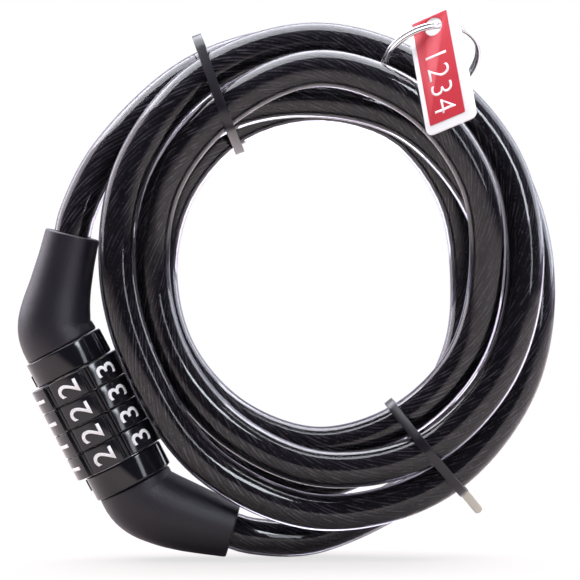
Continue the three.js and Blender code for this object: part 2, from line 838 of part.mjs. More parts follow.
const washerFrom = DIALS_END - TUMBLER_INSET + CUT_GAP / 2;
add('wave_washer', onAxis(turnedLocal([
  [WASHER_IN_R, washerFrom],
  [WASHER_OUT_R, washerFrom],
  [WASHER_OUT_R, washerFrom + WASHER_T],
  [WASHER_IN_R, washerFrom + WASHER_T],
  [WASHER_IN_R, washerFrom],
])), steel);

for (let i = 0; i < DIAL_COUNT; i += 1) {
  const from = DIALS_START + i * DIAL_PITCH;
  add(`dial_${i + 1}`, dialGeometry(from), glossBlack);
  add(`tumbler_${i + 1}`, tumblerGeometry(from + TUMBLER_INSET), brass);
  add(`detent_ball_${i + 1}`, ballGeometry(i), steel);
}

// ---------- cable ties ----------
function hull(points) {
  const sorted = points.slice().sort((u, v) => u.x - v.x || u.y - v.y);
  const turn = (o, a, b) => (a.x - o.x) * (b.y - o.y) - (a.y - o.y) * (b.x - o.x);
  const chain = (list) => {
    const out = [];
    for (const p of list) {
      while (out.length > 1 && turn(out[out.length - 2], out[out.length - 1], p) <= 0) out.pop();
      out.push(p);
    }
    out.pop();
    return out;
  };
  return [...chain(sorted), ...chain(sorted.slice().reverse())];
}

function offsetHull(centres, r) {
  const points = [];
  for (const c of centres) {
    for (let i = 0; i < TIE_ARC_STEPS; i += 1) {
      const a = (2 * Math.PI * i) / TIE_ARC_STEPS;
      points.push(new THREE.Vector2(c.x + r * Math.cos(a), c.y + r * Math.sin(a)));
    }
  }
  return hull(points);
}

function tiePlane(tie) {
  // the strap lies slanted: its own line crosses the coil's radius at crossR
  const a = tie.deg * DEG;
  const slant = tie.slantDeg * DEG;
  const radial = new THREE.Vector3(-Math.cos(a), 0, Math.sin(a));
  const back = new THREE.Vector3(0, 1, 0);
  const side = new THREE.Vector3().crossVectors(radial, back);
  const outward = radial.clone().multiplyScalar(Math.cos(slant)).addScaledVector(side, Math.sin(slant));
  const origin = new THREE.Vector3(COIL_X, 0, COIL_Z)
    .addScaledVector(radial, tie.crossR)
    .addScaledVector(outward, -tie.crossR);
  return { origin, outward, back, tangent: new THREE.Vector3().crossVectors(outward, back) };
}

function strandsIn(plane, across) {
  // where the cable passes through a plane beside the strap's middle, as [outward, back]
  const found = [];
  const v = new THREE.Vector3();
  let before = null;
  for (let i = 0; i <= ROUTE_DIVISIONS; i += 1) {
    v.copy(route.getPointAt(i / ROUTE_DIVISIONS)).sub(plane.origin);
    const here = { off: v.dot(plane.tangent) - across, out: v.dot(plane.outward), back: v.y };
    if (before && before.off * here.off <= 0 && here.out > 0) {
      const t = before.off / (before.off - here.off);
      found.push(new THREE.Vector2(
        before.out + (here.out - before.out) * t,
        before.back + (here.back - before.back) * t,
      ));
    }
    before = here;
  }
  return found;
}

function tieGeometry(tie) {
  const plane = tiePlane(tie);
  const centres = [...strandsIn(plane, -TIE_W / 2), ...strandsIn(plane, TIE_W / 2)];
  centres.push(new THREE.Vector2(...tie.bulge));
  const outer = offsetHull(centres, SHEATH_R + TIE_CLEAR + TIE_T);
  const inner = offsetHull(centres, SHEATH_R + TIE_CLEAR);
  const band = new THREE.Shape(outer);
  band.holes.push(new THREE.Path(inner));
  const strap = extrude(band, -TIE_W / 2, TIE_W);
  const head = box(TIE_HEAD_L, TIE_HEAD_T, TIE_HEAD_W, 0, 0, 0);
  head.rotateZ(tie.headDeg * DEG);
  head.translate(tie.head[0], tie.head[1], 0);
  const tail = box(tie.tail, TIE_T, TIE_W, tie.tail / 2, 0, 0);
  tail.rotateZ(tie.tailDeg * DEG);
  tail.translate(tie.head[0], tie.head[1], 0);
  const g = join([strap, head, tail]);
  const frame = new THREE.Matrix4().makeBasis(plane.outward, plane.back, plane.tangent);
  frame.setPosition(plane.origin);
  return g.applyMatrix4(frame);
}

for (const tie of TIES) add(tie.name, tieGeometry(tie), nylon);

// ---------- split ring ----------
class Helix extends THREE.Curve {
  getPoint(t, target = new THREE.Vector3()) {
    const a = 2 * Math.PI * RING_TURNS * t;
    return target.set(RING_R * Math.cos(a), RING_R * Math.sin(a), RING_LIFT * RING_TURNS * (t - 1 / 2));
  }
}

const ringAcross = new THREE.Vector3(Math.cos(RING_YAW_DEG * DEG), Math.sin(RING_YAW_DEG * DEG), 0);
const ringUp = new THREE.Vector3(0, -Math.sin(RING_TILT_DEG * DEG), Math.cos(RING_TILT_DEG * DEG));
ringUp.addScaledVector(ringAcross, -ringUp.dot(ringAcross)).normalize();
const ringNormal = new THREE.Vector3().crossVectors(ringAcross, ringUp);
const ringGeometry = new THREE.ExtrudeGeometry(new THREE.Shape(ringPoints(RING_WIRE_R, RING_SIDES)), {
  steps: RING_STEPS,
  extrudePath: new Helix(),
  bevelEnabled: false,
});
ringGeometry.applyMatrix4(
  new THREE.Matrix4().makeBasis(ringAcross, ringUp, ringNormal).setPosition(RING_CENTRE),
);
add('split_ring', ringGeometry, nickel);

// ---------- tag ----------
function roundedCard(w, top, bottom, corner) {
  const s = new THREE.Shape();
  s.moveTo(-w / 2 + corner, bottom);
  s.lineTo(w / 2 - corner, bottom);
  s.quadraticCurveTo(w / 2, bottom, w / 2, bottom + corner);
  s.lineTo(w / 2, top - corner);
  s.quadraticCurveTo(w / 2, top, w / 2 - corner, top);
  s.lineTo(-w / 2 + corner, top);
  s.quadraticCurveTo(-w / 2, top, -w / 2, top - corner);
  s.lineTo(-w / 2, bottom + corner);
  s.quadraticCurveTo(-w / 2, bottom, -w / 2 + corner, bottom);
  return s;
}

// card frame: x to the right, y up the card, z towards its front
const tagFrame = new THREE.Matrix4()
  .makeTranslation(TAG_HANG.x, TAG_HANG.y, TAG_HANG.z)
  .multiply(new THREE.Matrix4().makeRotationY(TAG_ROLL_DEG * DEG))
  .multiply(new THREE.Matrix4().makeRotationX(HALF_TURN / 2 * DEG + TAG_LEAN_DEG * DEG))
  .multiply(new THREE.Matrix4().makeRotationY(TAG_YAW_DEG * DEG));
const CARD_CURVE_SEGMENTS = 4;

function cardGeometry(shape, thickness, from) {
  const g = new THREE.ExtrudeGeometry(shape, {
    depth: thickness,
    steps: 1,
    bevelEnabled: false,
    curveSegments: CARD_CURVE_SEGMENTS,
  });
  g.translate(0, 0, from);
  return g.applyMatrix4(tagFrame);
}

const card = roundedCard(TAG_W, TAG_HOLE_DOWN, TAG_HOLE_DOWN - TAG_L, TAG_CORNER);
card.holes.push(new THREE.Path(ringPoints(TAG_HOLE_R, SMALL_SIDES + 4)));
add('tag_card', cardGeometry(card, TAG_T, -TAG_T / 2), whiteCard);
const labelTop = TAG_HOLE_DOWN - LABEL_DOWN;
const label = new THREE.Shape(
  roundedCard(LABEL_W, labelTop, labelTop - LABEL_L, 0.4)
    .getPoints(CARD_CURVE_SEGMENTS)
    .map((v) => new THREE.Vector2(v.x + LABEL_SHIFT, v.y)),
);
label.holes.push(new THREE.Path(ringPoints(TAG_HOLE_R + LABEL_HOLE_EDGE, SMALL_SIDES + 4)));
add('tag_label', cardGeometry(label, LABEL_T, TAG_T / 2 + LABEL_GAP), redPrint);

// ---------- the origin: middle of the footprint, on the floor ----------
const bounds = new THREE.Box3().setFromObject(group);
const middle = bounds.getCenter(new THREE.Vector3());
for (const mesh of group.children) mesh.geometry.translate(-middle.x, -middle.y, -bounds.min.z);

export default group;
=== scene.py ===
import math

import bmesh
import bpy
import numpy as np
from mathutils import Matrix, Vector


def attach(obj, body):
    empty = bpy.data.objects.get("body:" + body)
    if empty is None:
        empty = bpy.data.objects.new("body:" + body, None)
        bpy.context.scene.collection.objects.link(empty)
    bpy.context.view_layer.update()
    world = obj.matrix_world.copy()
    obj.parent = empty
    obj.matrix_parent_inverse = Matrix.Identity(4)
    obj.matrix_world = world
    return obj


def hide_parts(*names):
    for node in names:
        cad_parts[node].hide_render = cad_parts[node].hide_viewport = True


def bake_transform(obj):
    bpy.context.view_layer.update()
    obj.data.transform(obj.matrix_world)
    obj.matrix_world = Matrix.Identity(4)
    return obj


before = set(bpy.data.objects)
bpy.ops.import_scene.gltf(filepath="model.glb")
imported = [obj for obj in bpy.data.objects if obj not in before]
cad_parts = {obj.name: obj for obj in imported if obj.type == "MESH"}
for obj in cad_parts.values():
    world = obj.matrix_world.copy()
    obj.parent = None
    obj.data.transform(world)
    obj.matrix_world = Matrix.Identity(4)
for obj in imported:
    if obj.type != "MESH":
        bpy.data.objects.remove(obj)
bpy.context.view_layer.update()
scene = bpy.context.scene


def sin_deg(deg):
    return math.sin(math.radians(deg))


def cos_deg(deg):
    return math.cos(math.radians(deg))


# ------------------------------------------------------------ sizes, mm and degrees
ORIGIN = Vector((0.698, -1.951, -0.376))
COIL_X, COIL_Z = 9.2, 93.3

LOCK_Y = 4.5
LOCK_DEG = 27.6
LOCK_START = Vector((-73.9, LOCK_Y, 69.6))
LOCK_LEN = 50.19
ALONG = Vector((sin_deg(LOCK_DEG), 0, -cos_deg(LOCK_DEG)))
ACROSS = Vector((cos_deg(LOCK_DEG), 0, sin_deg(LOCK_DEG)))
FRONT = Vector((0, -1, 0))

SHEATH_R = 6.0
SHEATH_SIDES = 48
SHEATH_IN = 12.0
ROPE_R = 3.2
ROPE_PROUD = 0.35
ROPE_IN = 6.6
ROPE_LAY = 60.0
ROPE_STRANDS, WIRES_SEEN, SIDES_PER_WIRE = 10, 2, 6
STRAND_DEPTH, WIRE_DEPTH = 0.05, 0.02
PATH_STEP = 2.6
SPLINE_STEPS = 40
SPLIT_GAP = 0.05

# turned angle, radius, depth
ROUTE = [
    (30, 78.6, 9.6), (60, 76.7, 15.1), (90, 75.2, 20.7), (120, 73.2, 22.4), (150, 71.1, 17.4),
    (180, 71.6, 10.1), (210, 75.5, 6.6), (240, 78.5, 2.5), (270, 77.4, -0.7), (300, 71.0, -3.3),
    (330, 64.3, -5.8), (360, 64.6, -5.2), (390, 69.0, -3.7), (420, 73.7, 1.8), (450, 75.7, 7.8),
    (480, 73.3, 6.4), (510, 70.7, 3.9), (540, 67.1, -1.7), (570, 66.8, -2.9), (600, 66.5, -2.3),
    (630, 63.0, -1.1), (660, 57.7, 0.3), (690, 54.5, 2.1), (720, 54.0, 1.9), (750, 57.5, 0.7),
    (780, 61.2, -3.3), (810, 66.1, -7.5), (840, 63.6, -7.7), (870, 59.2, -5.0), (900, 54.6, -1.6),
    (930, 54.9, 2.5), (960, 55.4, 5.9), (990, 56.4, 9.7), (1020, 54.4, 12.6), (1050, 52.9, 15.2),
    (1080, 52.2, 18.0), (1110, 53.4, 21.1), (1140, 55.1, 23.4), (1170, 55.5, 24.5),
    (1200, 55.2, 26.6), (1230, 52.0, 25.6), (1260, 50.2, 25.3), (1290, 54.8, 24.5),
    (1320, 62.0, 23.6), (1350, 70.1, 22.0), (1380, 69.0, 20.2), (1410, 66.1, 18.0),
    (1440, 65.1, 15.7), (1470, 63.5, 13.3), (1500, 60.0, 11.7), (1530, 56.8, 11.7),
    (1560, 57.3, 14.2), (1590, 57.4, 14.0), (1620, 60.8, 17.2), (1650, 68.0, 16.8),
    (1680, 76.1, 14.9), (1710, 86.1, 10.7),
]
LEAD_END_DEG = 60

UPPER_MOUTH, UPPER_OUT, UPPER_PULL = Vector((-70.6, LOCK_Y, 106.1)), 13.1, 18
LOWER_MOUTH, LOWER_OUT, LOWER_PULL = Vector((-18.4, LOCK_Y, 9.3)), 105.7, 15
MOUTH_LEAD = 6
BOOT_STRAIGHT = 4.5
AXIS_PULL = 4
BOOT_BEND_STEPS = 5
BOOT_SIDES, BOOT_STEPS = 72, 36
BOOT_END_R = 12.4
BOOT_END_FLAT = 0.8
BOOT_LIP_R = 6.5
BOOT_CAVITY_R = 8.6
BOOT_EDGE, BOOT_EDGE_STEPS = 0.7, 6
SWELL_STEP, SWELL_REACH, SWELL_WIDTH = 0.8, 6, 3.0
# distance from the mouth, radius
UPPER_PROFILE = [(0, 8.9), (8, 9.2), (18, 10.1), (26, 11.5), (32, 12.2)]
LOWER_PROFILE = [(0, 8.9), (7, 10.0), (14, 11.1), (20, 11.8), (28, 12.3)]

COLLAR_LEN, COLLAR_R = 8.7, 13.35
COLLAR_ROUND, COLLAR_SIDES = 0.7, 128
SEAT = 0.15
INDEX_DEG, INDEX_SPREAD = -87, 5.4
INDEX_LONG, INDEX_PROUD, INDEX_INSET = 4, 0.4, 0.5
INDEX_EDGE = 0.15

DIAL_COUNT = 4
DIALS_START, DIAL_PITCH, DIAL_W = 8.85, 8.16, 7.86
DIAL_R, DIAL_BORE = 16.0, 12.0
DIAL_PADS = 7
PAD_PITCH = 360 / DIAL_PADS
PAD_FIRST, PAD_HALF = -12.6, 20.9
PAD_EASE_IN, PAD_EASE_OUT, PAD_EASE_DROP = 0.9, 0.3, 0.28
GROOVE_DEPTH, GROOVE_WALL = 1.1, 1.3
RIB_TALL, RIB_PITCH = 0.16, 1.35
RIM_R, RIM_STEPS = 0.45, 5
FINE_SPAN, FINE_STEP, PAD_STEP = 5.6, 0.28, 2.0
FIGURE_BANDS = 16
DIGIT_TALL, DIGIT_BOLD = 7.3, 0.006
DIGIT_PROUD, DIGIT_SUNK = 0.03, 0.12

TIE_UPPER = {"deg": 60, "slant": -9.9, "cross": 60.8, "tail": None}
TIE_LOWER = {"deg": 238.5, "slant": 7.8, "cross": 63.3, "tail": 88.6}
TIE_EDGE = 0.3
TAIL_ROUND, TAIL_ROUND_STEPS = 1.3, 6

RING_R, RING_WIRE_R, RING_SIDES = 16.1, 0.65, 16
RING_LIFT = 1.45
RING_TURNS, RING_STEPS = 2, 192
RING_CENTRE = Vector((45.53, 2.26, 161.94))
RING_TILT, RING_YAW = 46.8, 18.6

TAG_T = 0.8
TAG_HANG = Vector((46.19, -9.3, 172.45))
TAG_ROLL, TAG_LEAN, TAG_YAW = -8.8, -25.6, -29.8
TAG_EDGE, PANEL_EDGE = 0.18, 0.04
PANEL_PROUD, PANEL_SHIFT = 0.25, -0.85
CODE = "1234"
CODE_FROM, CODE_STEP, CODE_TALL, CODE_BOLD = 10.2, 6.0, 7.6, -0.012
CODE_PROUD, CODE_SUNK = 0.03, 0.05


def place(v):
    """millimetres in the maker's frame to metres in the row frame"""
    return (Vector(v) + ORIGIN) * 0.001


def on_lock(r, deg, s):
    """a point at radius r, turned deg from the front, s along the lock's axis"""
    return place(LOCK_START + ALONG * s + (FRONT * cos_deg(deg) + ACROSS * sin_deg(deg)) * r)


# ------------------------------------------------------------ nodes and shader maths
def grow(tree, kind, links=None, **settings):
    """adds a node, sets it, feeds its inputs and gives its outputs"""
    node = tree.nodes.new(kind)
    for key, value in settings.items():
        setattr(node, key, value)
    for key, value in (links or {}).items():
        if isinstance(value, bpy.types.NodeSocket):
            tree.links.new(value, node.inputs[key])
        else:
            node.inputs[key].default_value = value
    return node.outputs


class Sock:
    """A socket with operators, so shader maths reads as expressions."""

    def __init__(self, mat, socket):
        self.mat, self.socket = mat, socket

    def _op(self, op, *values):
        return self.mat.node("ShaderNodeMath", dict(enumerate(values)), operation=op)

    def __add__(self, o):
        return self._op("ADD", self, o)

    def __sub__(self, o):
        return self._op("SUBTRACT", self, o)

    def __mul__(self, o):
        return self._op("MULTIPLY", self, o)

    def __pow__(self, o):
        return self._op("POWER", self, o)

    def clamp(self):
        """held between 0 and 1"""
        held = self._op("MULTIPLY_ADD", self, 1.0, 0.0)
        held.socket.node.use_clamp = True
        return held


class Finish:
    """One material and a single method that makes its nodes."""

    def __init__(self, name):
        self.material = bpy.data.materials.new(name)
        self.material.use_nodes = True
        self.tree = self.material.node_tree
        self.shader = self.tree.nodes["Principled BSDF"]
        self.coords = None

    def node(self, kind, values=None, out=0, **settings):
        links = {k: v.socket if isinstance(v, Sock) else v for k, v in (values or {}).items()}
        return Sock(self, grow(self.tree, kind, links, **settings)[out])

    def set(self, **values):
        for key, value in values.items():
            socket = self.shader.inputs[key.replace("_", " ")]
            if isinstance(value, Sock):
                self.tree.links.new(value.socket, socket)
            else:
                socket.default_value = value

    def object_coords(self):
        if self.coords is None:
            self.coords = self.node("ShaderNodeTexCoord", out=3)
        return self.coords

    def noise(self, scale, detail, rough=0.5, at=None):
        return self.node("ShaderNodeTexNoise", {
            "Vector": at or self.object_coords(),
            "Scale": scale, "Detail": detail, "Roughness": rough,
        })

    def stored(self, name):
        """a number stored on the mesh's points"""
        return self.node("ShaderNodeAttribute", out=2, attribute_name=name)

    def mix(self, factor, a, b):
        return self.node(
            "ShaderNodeMix", {0: factor, 6: (*a, 1), 7: (*b, 1)}, out=2, data_type="RGBA"
        )

    def bump(self, height, strength, distance):
        return self.node(
            "ShaderNodeBump", {"Height": height, "Strength": strength, "Distance": distance}
        )


def shaded(base, share):
    return tuple(c * share for c in base)


def make_sheath():
    """clear smoky plastic, a little uneven in its tint and shine"""
    f = Finish("smoky_pvc")
    haze = f.noise(90, 2)
    f.set(
        Base_Color=f.mix(haze, (0.33, 0.31, 0.37), (0.26, 0.245, 0.295)),
        Roughness=haze * 0.05 + 0.05,
        IOR=1.5,
        Specular_IOR_Level=1.0,
        Transmission_Weight=1.0,
    )
    return f.material


def make_rope():
    """near-black steel wire; painted glints (painted highlights) light short dashes along the
    crests of its wires, so the grooves stay dark
    """
    f = Finish("twisted_steel_wire")
    crest = f.stored("crest")
    metres = f.stored("metres")
    wire = f.stored("wire")
    lane = f.node("ShaderNodeMath", {0: wire}, operation="FLOOR")
    spot = f.node("ShaderNodeCombineXYZ", {0: metres * 170.0, 1: lane * 3.7, 2: 0.0})
    glint_dashes = f.noise(1.0, 1.0, at=spot)
    soil_and_glint_patches = f.noise(45, 3)
    fine = f.noise(1100, 2)
    # painted highlight: short bright dashes and fine sparkles on the wire crests stand in for
    # glints of lamp light; the same noise sets the roughness and the glint patches
    painted_crest_glint = (crest ** 5.0) * (glint_dashes * 6.5 - 2.95).clamp() * (soil_and_glint_patches * 2.6 - 0.6).clamp()
    sparkle = (fine * 9.0 - 5.2).clamp() * (crest ** 2.0) * 0.25
    glint = (painted_crest_glint + sparkle).clamp()
    f.set(
        # the second colour is the painted glint colour
        Base_Color=f.mix(glint, (0.0035, 0.0028, 0.006), (0.72, 0.64, 0.70)),
        Metallic=0.1,
        Roughness=soil_and_glint_patches * 0.12 + 0.46,
        Specular_IOR_Level=0.3,
    )
    return f.material


def make_boot():
    """black rubbery plastic with a fine sandy grain"""
    f = Finish("fine_grain_boot")
    grain = f.noise(3200, 2, 0.6)
    broad = f.noise(120, 3)
    f.set(
        Base_Color=f.mix(broad, (0.0055, 0.0042, 0.0095), (0.008, 0.0065, 0.013)),
        Roughness=grain * 0.18 + 0.33,
        Specular_IOR_Level=0.5,
        Normal=f.bump(grain, 0.5, 0.0002),
    )
    return f.material


def make_gloss(name, base, rough):
    """polished moulding, with a faint orange-peel ripple and a little dust"""
    f = Finish(name)
    ripple = f.noise(260, 2)
    dust = f.noise(1500, 4, 0.7)
    f.set(
        Base_Color=f.mix(dust, base, shaded(base, 1.5)),
        Roughness=ripple * 0.06 + rough,
        Normal=f.bump(ripple, 0.05, 0.0002),
    )
    return f.material


def make_metal(name, base, rough):
    f = Finish(name)
    turned = f.noise(300, 4, 0.6)
    f.set(
        Base_Color=f.mix(turned, base, shaded(base, 0.8)),
        Metallic=1.0,
        Roughness=turned * 0.15 + rough,
    )
    return f.material


def make_plain(name, base, rough):
    """satin plastic, card or print"""
    f = Finish(name)
    grain = f.noise(900, 3, 0.6)
    f.set(
        Base_Color=f.mix(grain, base, shaded(base, 0.93)),
        Roughness=grain * 0.12 + rough,
        Normal=f.bump(grain, 0.05, 0.0001),
    )
    return f.material


SHEATH = make_sheath()
ROPE = make_rope()
BOOT = make_boot()
BLACK = make_gloss("gloss_black_shell", (0.005, 0.005, 0.007), 0.08)
DIAL_BLACK = make_gloss("dial_black", (0.006, 0.006, 0.008), 0.10)
BRASS = make_metal("turned_brass", (0.60, 0.46, 0.22), 0.3)
STEEL = make_metal("turned_steel", (0.60, 0.60, 0.62), 0.25)
NICKEL = make_metal("ring_nickel", (0.74, 0.74, 0.76), 0.12)
NYLON = make_plain("tie_nylon", (0.008, 0.007, 0.011), 0.26)
CREAM = make_plain("tie_tail_end", (0.66, 0.62, 0.52), 0.45)
WHITE_CARD = make_plain("tag_card_white", (0.86, 0.86, 0.86), 0.35)
RED_CARD = make_plain("tag_panel_red", (0.58, 0.030, 0.048), 0.4)
DIGIT_WHITE = make_plain("digit_white", (0.93, 0.93, 0.93), 0.45)


# ------------------------------------------------------------ mesh helpers
def linked(name, data):
    obj = bpy.data.objects.new(name, data)
    scene.collection.objects.link(obj)
    return obj


def new_mesh(name, verts, faces, material, smooth=True, recalc=True):
    mesh = bpy.data.meshes.new(name)
    mesh.from_pydata([tuple(v) for v in verts], [], faces)
    bm = bmesh.new()
    bm.from_mesh(mesh)
    if recalc:
        bmesh.ops.remove_doubles(bm, verts=bm.verts, dist=1e-7)
        bmesh.ops.recalc_face_normals(bm, faces=bm.faces)
    for face in bm.faces:
        face.smooth = smooth
    bm.to_mesh(mesh)
    bm.free()
    obj = linked(name, mesh)
    mesh.materials.append(material)
    return obj


def sharpen(obj, angle):
    obj.data.set_sharp_from_angle(angle=math.radians(angle))


def everything(bm):
    return bm.verts[:] + bm.edges[:] + bm.faces[:]


def settle(obj, angle=35):
    """applies what modifiers there are and sets sharp edges by angle"""
    depsgraph = bpy.context.evaluated_depsgraph_get()
    plain = bpy.data.meshes.new_from_object(obj.evaluated_get(depsgraph), depsgraph=depsgraph)
    obj.modifiers.clear()
    if obj.type == "MESH":
        old = obj.data
        obj.data = plain
        bpy.data.meshes.remove(old)
        made = obj
    else:
        made = linked(obj.name + "_solid", plain)
        bpy.data.objects.remove(obj)
    sharpen(made, angle)
    return made


def beveled(obj, width, segments=3):
    mod = obj.modifiers.new("edge", "BEVEL")
    mod.width = width * 0.001
    mod.segments = segments
    mod.limit_method = "ANGLE"
    mod.angle_limit = math.radians(35)
    mod.harden_normals = False
    return settle(obj)


def refined(node, name, materials, width, segments=3, rework=None, pick=None):
    """a smooth copy of a CAD node with its edges rounded; pick gives a face's material"""
    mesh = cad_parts[node].data.copy()
    mesh.materials.clear()
    for material in materials:
        mesh.materials.append(material)
    bm = bmesh.new()
    bm.from_mesh(mesh)
    bmesh.ops.remove_doubles(bm, verts=bm.verts, dist=1e-6)
    bmesh.ops.dissolve_limit(
        bm, angle_limit=math.radians(1.0), verts=bm.verts, edges=bm.edges
    )
    if rework:
        rework(bm)
    for face in bm.faces:
        face.smooth = True
        face.material_index = pick(face) if pick else 0
    bm.to_mesh(mesh)
    bm.free()
    return beveled(linked(name, mesh), width, segments)


def wrapped(count, n):
    """the faces that join count closed outlines of n points each into a ring"""
    faces = []
    for k in range(count):
        a, b = k * n, ((k + 1) % count) * n
        for i in range(n):
            j = (i + 1) % n
            faces.append((a + i, a + j, b + j, b + i))
    return faces


def revolved(name, profile, sides, put, material):
    """a closed outline of (radius, height) turned about an axis"""
    verts = []
    for k in range(sides):
        verts.extend(put(r, 360 * k / sides, s) for r, s in profile)
    return new_mesh(name, verts, wrapped(sides, len(profile)), material)


def rounded(points, radius, steps):
    """rounds the corners of a closed outline, where it really turns"""
    out = []
    n = len(points)
    for i in range(n):
        p = Vector(points[i])
        a, b = Vector(points[i - 1]), Vector(points[(i + 1) % n])
        r = min(radius, (a - p).length * 0.45, (b - p).length * 0.45)
        u, v = (a - p).normalized(), (b - p).normalized()
        if u.angle(v, 0) > math.radians(165):
            out.append(tuple(p))
            continue
        start, end = p + u * r, p + v * r
        for k in range(steps + 1):
            t = k / steps
            out.append(tuple(start * (1 - t) ** 2 + p * 2 * t * (1 - t) + end * t ** 2))
    return out


# ------------------------------------------------------------ the cable's path
def heading(deg):
    return Vector((sin_deg(deg), 0, cos_deg(deg)))


def bezier(p0, p1, p2, p3, t):
    u = 1 - t
    return p0 * u ** 3 + p1 * 3 * t * u ** 2 + p2 * 3 * t * t * u + p3 * t ** 3


def boot_points(end, axis_out, mouth, out_deg, pull):
    """from the lock's end, straight out and round to the boot's mouth"""
    straight = end + axis_out * BOOT_STRAIGHT
    p1 = straight + axis_out * AXIS_PULL
    p2 = mouth - heading(out_deg) * pull
    bend = [
        bezier(straight, p1, p2, mouth, i / BOOT_BEND_STEPS)
        for i in range(1, BOOT_BEND_STEPS + 1)
    ]
    return [end.copy(), straight, *bend]


def catmull(points):
    """centripetal spline through the points, with the length run so far at each"""
    pts = [Vector(p) for p in points]
    pts = [pts[0] * 2 - pts[1], *pts, pts[-1] * 2 - pts[-2]]
    dense = []
    for i in range(1, len(pts) - 2):
        x0, x1, x2, x3 = pts[i - 1:i + 3]
        pairs = ((x0, x1), (x1, x2), (x2, x3))
        d0, d1, d2 = (max((b - a).length ** 0.5, 1e-6) for a, b in pairs)
        t1 = ((x1 - x0) / d0 - (x2 - x0) / (d0 + d1) + (x2 - x1) / d1) * d1
        t2 = ((x2 - x1) / d1 - (x3 - x1) / (d1 + d2) + (x3 - x2) / d2) * d1
        for k in range(SPLINE_STEPS):
            t = k / SPLINE_STEPS
            square = (x1 * -3 + x2 * 3 - t1 * 2 - t2) * t * t
            cube = (x1 * 2 - x2 * 2 + t1 + t2) * t ** 3
            dense.append(x1 + t1 * t + square + cube)
    dense.append(pts[-2])
    xyz = np.array(dense, float)
    run = np.linalg.norm(np.diff(xyz, axis=0), axis=1)
    return xyz, np.concatenate([[0], np.cumsum(run)])


def stretch(start, end):
    """the cable's middle from start to end, at even steps"""
    at = np.linspace(start, end, max(3, int(round((end - start) / PATH_STEP)) + 1))
    return np.stack([np.interp(at, cable_s, cable_xyz[:, k]) for k in range(3)], -1)


def coil_point(deg, r, y):
    return Vector((COIL_X - r * cos_deg(deg), y, COIL_Z + r * sin_deg(deg)))


LOCK_END = LOCK_START + ALONG * LOCK_LEN
upper_points = boot_points(LOCK_START, -ALONG, UPPER_MOUTH, UPPER_OUT, UPPER_PULL)
lower_points = boot_points(LOCK_END, ALONG, LOWER_MOUTH, LOWER_OUT, LOWER_PULL)
cable_xyz, cable_s = catmull([
    *upper_points,
    UPPER_MOUTH + heading(UPPER_OUT) * MOUTH_LEAD,
    *(coil_point(*entry) for entry in ROUTE),
    LOWER_MOUTH + heading(LOWER_OUT) * MOUTH_LEAD,
    *lower_points[::-1],
])
CABLE_LEN = cable_s[-1]
lead_station = np.array(coil_point(*next(e for e in ROUTE if e[0] == LEAD_END_DEG)))
SPLIT = cable_s[np.linalg.norm(cable_xyz - lead_station, axis=1).argmin()]


# ------------------------------------------------------------ the cable
def spine(name, xyz):
    """an open curve through the points, in the row frame"""
    curve = bpy.data.curves.new(name, "CURVE")
    curve.dimensions = "3D"
    line = curve.splines.new("POLY")
    line.points.add(len(xyz) - 1)
    for point, v in zip(line.points, xyz):
        point.co = (*place(v), 1)
    return linked(name, curve)


